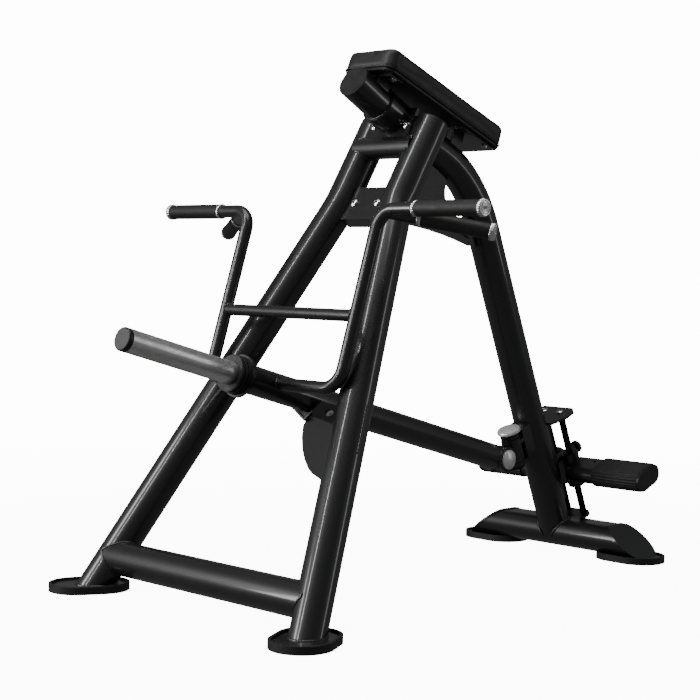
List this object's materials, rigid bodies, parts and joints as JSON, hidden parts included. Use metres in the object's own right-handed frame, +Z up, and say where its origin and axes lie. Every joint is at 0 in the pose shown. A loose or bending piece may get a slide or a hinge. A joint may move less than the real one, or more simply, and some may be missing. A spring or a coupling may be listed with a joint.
{
  "type": "t bar row",
  "caption": "Chest-supported lever row machine: leaning mast, A-frame legs, padded rest, plate sleeve, pull handles and sliding footrest.",
  "frame": {"origin": "on the floor, in the symmetry plane, midway along the overall length", "axes": "+Z up, X across the machine, -Y towards the plate sleeve, +Y towards the footrest"},
  "size_m": [0.988, 1.5064, 1.2192],
  "materials": {
    "black_coat": "gloss",
    "bright_chrome": "polished",
    "silver_aluminium": "knurled",
    "dark_steel": "satin",
    "brushed_sleeve": "brushed",
    "black_plastic": "matte",
    "black_rubber": "matte",
    "pad_vinyl": "satin",
    "pad_board": "painted",
    "bronze": "satin"
  },
  "bodies": {
    "frame": {"leg_right": "black_coat", "leg_left": "black_coat", "leg_end_caps": "black_plastic", "lower_cross_tube": "black_coat", "upper_cross_tube": "black_coat", "saddle_plate": "black_coat", "saddle_bolts": "bright_chrome", "front_plate": "black_coat", "front_plate_bolts": "bright_chrome", "gusset_web": "black_coat", "gusset_tab": "black_coat", "gusset_bolts": "bright_chrome", "rest_plate": "black_coat", "rest_cradle": "black_coat", "rest_pad": "black_rubber", "rest_bolt": "bright_chrome", "mast": "black_coat", "mast_collar": "black_coat", "head_tube": "black_coat", "head_cap": "black_plastic", "base_tube": "black_coat", "base_end_plates": "black_coat", "foot_plates": "black_coat", "foot_pads": "black_rubber", "pivot_yoke": "black_coat", "yaw_pin": "dark_steel", "yaw_cap": "bright_chrome", "rod_top_plate": "black_coat", "rod_foot_plate": "black_coat", "guide_rods": "dark_steel", "rod_bolts": "bright_chrome", "index_rail": "black_coat", "pad_bracket_front": "black_coat", "pad_bracket_rear": "black_coat", "pad_board": "pad_board", "pad_cushion": "pad_vinyl", "pad_bolts": "bright_chrome"},
    "swivel": {"swivel_block": "black_coat", "pivot_bushes": "bronze"},
    "lever": {"lever_tube": "black_coat", "lever_housing": "black_coat", "pitch_axle": "dark_steel", "pitch_caps": "bright_chrome", "handle_frame": "black_coat", "handle_crossbar": "black_coat", "rear_handles": "black_coat", "grips": "black_rubber", "grip_collars": "silver_aluminium", "grip_ends": "silver_aluminium", "stop_flange": "black_coat", "stop_bumper": "black_rubber", "plate_sleeve": "brushed_sleeve", "sleeve_cap": "black_plastic"},
    "footrest": {"slider_block": "black_coat", "slider_liners": "black_plastic", "footrest_tubes": "black_coat", "footrest_treads": "black_rubber", "footrest_ends": "black_plastic", "lock_housing": "black_coat"},
    "lock": {"lock_pin": "black_plastic"}
  },
  "joints": [
    {"name": "lever_yaw", "type": "hinge", "parent": "frame", "child": "swivel", "pos_m": [0, 0.48027, 0.26707], "axis": [0, -0.3807, 0.9247], "range_deg": [-0.5, 0.5]},
    {"name": "lever_pitch", "type": "hinge", "parent": "swivel", "child": "lever", "pos_m": [0, 0.41968, 0.25401], "axis": [-1, 0, 0], "range_deg": [0, 18]},
    {"name": "footrest_slide", "type": "slide", "parent": "frame", "child": "footrest", "axis": [0, -0.3807, 0.9247], "range_m": [-0.075, 0.1]},
    {"name": "lock_pull", "type": "slide", "parent": "footrest", "child": "lock", "axis": [0, 0.9247, 0.3807], "range_m": [-0.009, 0.008]}
  ]
}
